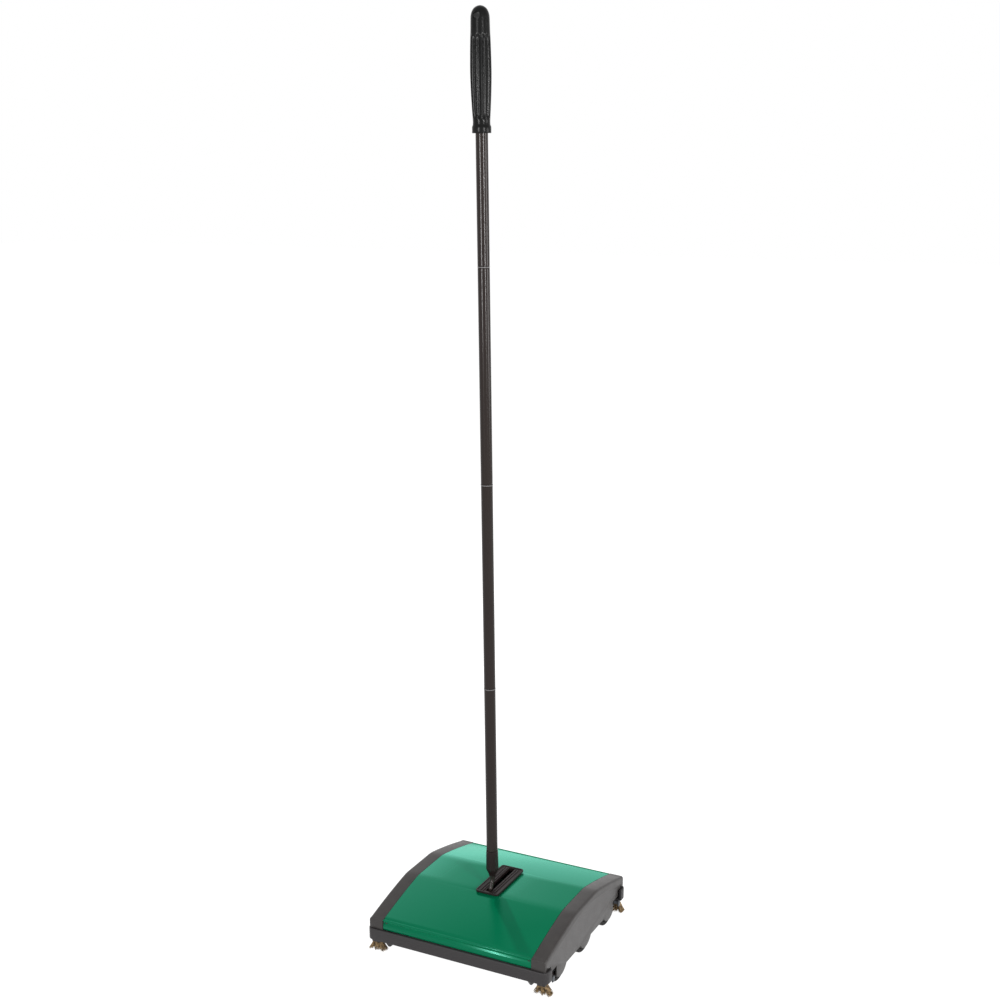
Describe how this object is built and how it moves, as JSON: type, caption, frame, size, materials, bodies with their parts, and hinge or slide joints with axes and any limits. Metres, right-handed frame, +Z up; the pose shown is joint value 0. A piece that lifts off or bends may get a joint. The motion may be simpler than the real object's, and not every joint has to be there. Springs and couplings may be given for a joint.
{
  "type": "carpet sweeper",
  "caption": "Upright manual carpet sweeper: low arched head with wheel-driven brush rollers and dirt pans, and a long tilting handle with a moulded grip.",
  "frame": {"origin": "on the floor under the centre of the head", "axes": "+Z up along the parked handle, -Y to the front where the handle parks, +X to the right along the wheel axles"},
  "size_m": [0.2504, 0.2444, 1.118],
  "materials": {
    "green_paint": "gloss",
    "dark_plastic": "satin",
    "black_plastic": "satin",
    "black_tube": "gloss",
    "black_rubber": "matt",
    "steel": "satin",
    "grey_plastic": "matt",
    "bristle": "matt",
    "light_plastic": "satin"
  },
  "bodies": {
    "head": {"top_cover": "green_paint", "slot_plate": "black_plastic", "roller_housing": "grey_plastic", "bail_pin": "steel", "end_cap_left": "dark_plastic", "side_frame_left": "black_tube", "bail_bracket_left": "steel", "end_cap_right": "dark_plastic", "side_frame_right": "black_tube", "bail_bracket_right": "steel", "corner_brush_front_left": "bristle", "cap_screw_front_left": "steel", "corner_brush_rear_left": "bristle", "cap_screw_rear_left": "steel", "corner_brush_front_right": "bristle", "cap_screw_front_right": "steel", "corner_brush_rear_right": "bristle", "cap_screw_rear_right": "steel", "axle_front_left": "steel", "axle_middle_left": "steel", "axle_rear_left": "steel", "axle_front_right": "steel", "axle_middle_right": "steel", "axle_rear_right": "steel", "bumper_front": "dark_plastic", "bumper_rear": "dark_plastic", "pan_spring_front": "steel", "pan_spring_rear": "steel"},
    "handle": {"bail_arm": "black_tube", "ferrule": "black_plastic", "handle_tube_1": "black_tube", "handle_tube_2": "black_tube", "handle_tube_3": "black_tube", "handle_tube_4": "black_tube", "joint_ring_1": "light_plastic", "joint_ring_2": "light_plastic", "joint_ring_3": "light_plastic", "hand_grip": "black_rubber"},
    "front_pan": {"dirt_pan_front": "grey_plastic"},
    "rear_pan": {"dirt_pan_rear": "grey_plastic"},
    "front_roller": {"roller_shaft_front": "steel", "roller_core_front": "black_plastic", "roller_bristles_front": "bristle"},
    "rear_roller": {"roller_shaft_rear": "steel", "roller_core_rear": "black_plastic", "roller_bristles_rear": "bristle"},
    "wheel_front_left": {"wheel_hub_front_left": "black_plastic", "tyre_front_left": "black_rubber"},
    "wheel_middle_left": {"wheel_hub_middle_left": "black_plastic", "tyre_middle_left": "black_rubber"},
    "wheel_rear_left": {"wheel_hub_rear_left": "black_plastic", "tyre_rear_left": "black_rubber"},
    "wheel_front_right": {"wheel_hub_front_right": "black_plastic", "tyre_front_right": "black_rubber"},
    "wheel_middle_right": {"wheel_hub_middle_right": "black_plastic", "tyre_middle_right": "black_rubber"},
    "wheel_rear_right": {"wheel_hub_rear_right": "black_plastic", "tyre_rear_right": "black_rubber"}
  },
  "joints": [
    {"name": "front_roller_spin", "type": "hinge", "parent": "head", "child": "front_roller", "pos_m": [0, -0.037, 0.0217], "axis": [1, 0, 0], "continuous": true},
    {"name": "rear_roller_spin", "type": "hinge", "parent": "head", "child": "rear_roller", "pos_m": [0, 0.037, 0.0217], "axis": [1, 0, 0], "continuous": true},
    {"name": "wheel_front_left_spin", "type": "hinge", "parent": "head", "child": "wheel_front_left", "pos_m": [0, -0.074, 0.025], "axis": [1, 0, 0], "continuous": true},
    {"name": "wheel_middle_left_spin", "type": "hinge", "parent": "head", "child": "wheel_middle_left", "pos_m": [0, 0, 0.025], "axis": [1, 0, 0], "continuous": true},
    {"name": "wheel_rear_left_spin", "type": "hinge", "parent": "head", "child": "wheel_rear_left", "pos_m": [0, 0.074, 0.025], "axis": [1, 0, 0], "continuous": true},
    {"name": "wheel_front_right_spin", "type": "hinge", "parent": "head", "child": "wheel_front_right", "pos_m": [0, -0.074, 0.025], "axis": [1, 0, 0], "continuous": true},
    {"name": "wheel_middle_right_spin", "type": "hinge", "parent": "head", "child": "wheel_middle_right", "pos_m": [0, 0, 0.025], "axis": [1, 0, 0], "continuous": true},
    {"name": "wheel_rear_right_spin", "type": "hinge", "parent": "head", "child": "wheel_rear_right", "pos_m": [0, 0.074, 0.025], "axis": [1, 0, 0], "continuous": true},
    {"name": "handle_tilt", "type": "hinge", "parent": "head", "child": "handle", "pos_m": [0, 0, 0.02], "axis": [-1, 0, 0], "range_deg": [0, 53]},
    {"name": "front_pan_open", "type": "hinge", "parent": "head", "child": "front_pan", "pos_m": [0, -0.1084, 0.012], "axis": [-1, 0, 0], "range_deg": [0, 50], "stiffness_Nm_per_rad": 0.04, "springref_deg": -51.57},
    {"name": "rear_pan_open", "type": "hinge", "parent": "head", "child": "rear_pan", "pos_m": [0, 0.1084, 0.012], "axis": [1, 0, 0], "range_deg": [0, 50], "stiffness_Nm_per_rad": 0.04, "springref_deg": -51.57}
  ],
  "couplings": [
    {"joint": "rear_roller_spin", "follows": "front_roller_spin", "ratio": 1},
    {"joint": "wheel_front_left_spin", "follows": "front_roller_spin", "ratio": -0.47387},
    {"joint": "wheel_middle_left_spin", "follows": "front_roller_spin", "ratio": -0.47387},
    {"joint": "wheel_rear_left_spin", "follows": "front_roller_spin", "ratio": -0.47387},
    {"joint": "wheel_front_right_spin", "follows": "front_roller_spin", "ratio": -0.47387},
    {"joint": "wheel_middle_right_spin", "follows": "front_roller_spin", "ratio": -0.47387},
    {"joint": "wheel_rear_right_spin", "follows": "front_roller_spin", "ratio": -0.47387}
  ]
}
